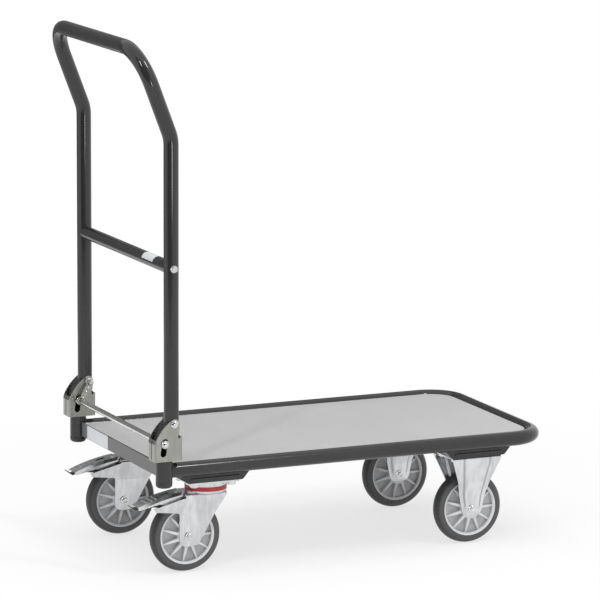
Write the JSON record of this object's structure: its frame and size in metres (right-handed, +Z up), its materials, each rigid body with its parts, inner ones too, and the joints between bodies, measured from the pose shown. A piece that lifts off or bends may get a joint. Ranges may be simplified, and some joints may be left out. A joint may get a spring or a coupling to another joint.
{
  "type": "folding platform cart",
  "caption": "Platform cart with a tube-rimmed deck, swivel casters with foot brakes, fixed casters and a push handle that folds over the deck on a sprung lock rod",
  "frame": {"origin": "on the floor, under the middle of the overall box", "axes": "+X towards the front (fixed casters), +Y to the left of a person who pushes the cart, +Z up"},
  "size_m": [0.7752, 0.437, 0.9],
  "materials": {
    "dark_powder_coat": "fine-textured semi-matt powder coat",
    "grey_paint": "smooth semi-matt paint",
    "grey_board": "pale matt board",
    "black_plastic": "moulded, satin",
    "zinc_sheet": "zinc-plated pressed sheet",
    "bracket_zinc": "dull zinc-plated folded sheet",
    "zinc_fastener": "bright zinc plate",
    "bright_bar": "drawn bright bar",
    "spring_wire": "drawn wire",
    "nylon": "moulded bush",
    "red_plastic": "moulded, satin",
    "brake_rubber": "moulded pad",
    "rim_plastic": "moulded, fine grain",
    "tyre_rubber": "dark grey tread"
  },
  "bodies": {
    "deck": {"deck_frame_tube": "dark_powder_coat", "end_crossmember": "grey_paint", "crossmember_rear": "dark_powder_coat", "crossmember_front": "dark_powder_coat", "deck_board": "grey_board", "board_screws": "zinc_fastener", "corner_posts": "dark_powder_coat", "post_feet": "black_plastic", "hinge_bracket_left": "bracket_zinc", "hinge_bracket_right": "bracket_zinc", "bracket_screws": "zinc_fastener", "pivot_bolts": "zinc_fastener", "pivot_nuts": "zinc_fastener", "lock_springs": "spring_wire", "caster_plates": "zinc_sheet", "kingpins": "zinc_fastener", "fixed_fork_left": "zinc_sheet", "fixed_fork_right": "zinc_sheet", "front_axles": "zinc_fastener", "caster_bolts": "zinc_fastener", "caster_nuts": "zinc_fastener"},
    "handle": {"handle_tube": "dark_powder_coat", "handle_cross_tube": "dark_powder_coat", "cross_tube_bolts": "zinc_fastener", "lock_segment_left": "dark_powder_coat", "lock_segment_right": "dark_powder_coat", "pivot_bushes": "nylon"},
    "lock_bar": {"lock_rod": "bright_bar", "lock_rod_caps": "zinc_fastener"},
    "swivel_right": {"swivel_fork_right": "zinc_sheet", "dust_seal_right": "red_plastic", "rear_axle_right": "zinc_fastener"},
    "brake_right": {"brake_pedal_right": "zinc_sheet", "brake_shoe_right": "brake_rubber", "release_lever_right": "black_plastic"},
    "wheel_rear_right": {"rim_rear_right": "rim_plastic", "tyre_rear_right": "tyre_rubber"},
    "wheel_front_right": {"rim_front_right": "rim_plastic", "tyre_front_right": "tyre_rubber"},
    "swivel_left": {"swivel_fork_left": "zinc_sheet", "dust_seal_left": "red_plastic", "rear_axle_left": "zinc_fastener"},
    "brake_left": {"brake_pedal_left": "zinc_sheet", "brake_shoe_left": "brake_rubber", "release_lever_left": "black_plastic"},
    "wheel_rear_left": {"rim_rear_left": "rim_plastic", "tyre_rear_left": "tyre_rubber"},
    "wheel_front_left": {"rim_front_left": "rim_plastic", "tyre_front_left": "tyre_rubber"}
  },
  "joints": [
    {"name": "handle_fold", "type": "hinge", "parent": "deck", "child": "handle", "pos_m": [-0.31888, 0, 0.2665], "axis": [0, 1, 0], "range_deg": [0, 90]},
    {"name": "lock_press", "type": "slide", "parent": "deck", "child": "lock_bar", "axis": [-0.1564, 0, -0.9877], "range_m": [0, 0.0163], "stiffness_N_per_m": 400, "springref_m": -0.012, "deforming": ["lock_springs"]},
    {"name": "swivel_right_turn", "type": "hinge", "parent": "deck", "child": "swivel_right", "pos_m": [-0.23588, -0.145, 0.14], "axis": [0, 0, 1], "continuous": true},
    {"name": "wheel_rear_right_spin", "type": "hinge", "parent": "swivel_right", "child": "wheel_rear_right", "pos_m": [-0.27438, -0.145, 0.0625], "axis": [0, 1, 0], "continuous": true},
    {"name": "wheel_front_right_spin", "type": "hinge", "parent": "deck", "child": "wheel_front_right", "pos_m": [0.25212, -0.145, 0.0625], "axis": [0, 1, 0], "continuous": true},
    {"name": "brake_right_press", "type": "hinge", "parent": "swivel_right", "child": "brake_right", "pos_m": [-0.29038, -0.145, 0.123], "axis": [0, -1, 0], "range_deg": [0, 12]},
    {"name": "swivel_left_turn", "type": "hinge", "parent": "deck", "child": "swivel_left", "pos_m": [-0.23588, 0.145, 0.14], "axis": [0, 0, 1], "continuous": true},
    {"name": "wheel_rear_left_spin", "type": "hinge", "parent": "swivel_left", "child": "wheel_rear_left", "pos_m": [-0.27438, 0.145, 0.0625], "axis": [0, 1, 0], "continuous": true},
    {"name": "wheel_front_left_spin", "type": "hinge", "parent": "deck", "child": "wheel_front_left", "pos_m": [0.25212, 0.145, 0.0625], "axis": [0, 1, 0], "continuous": true},
    {"name": "brake_left_press", "type": "hinge", "parent": "swivel_left", "child": "brake_left", "pos_m": [-0.29038, 0.145, 0.123], "axis": [0, -1, 0], "range_deg": [0, 12]}
  ],
  "couplings": [
    {"joint": "lock_press", "follows": "handle_fold", "m_per_rad": 0.010377}
  ]
}
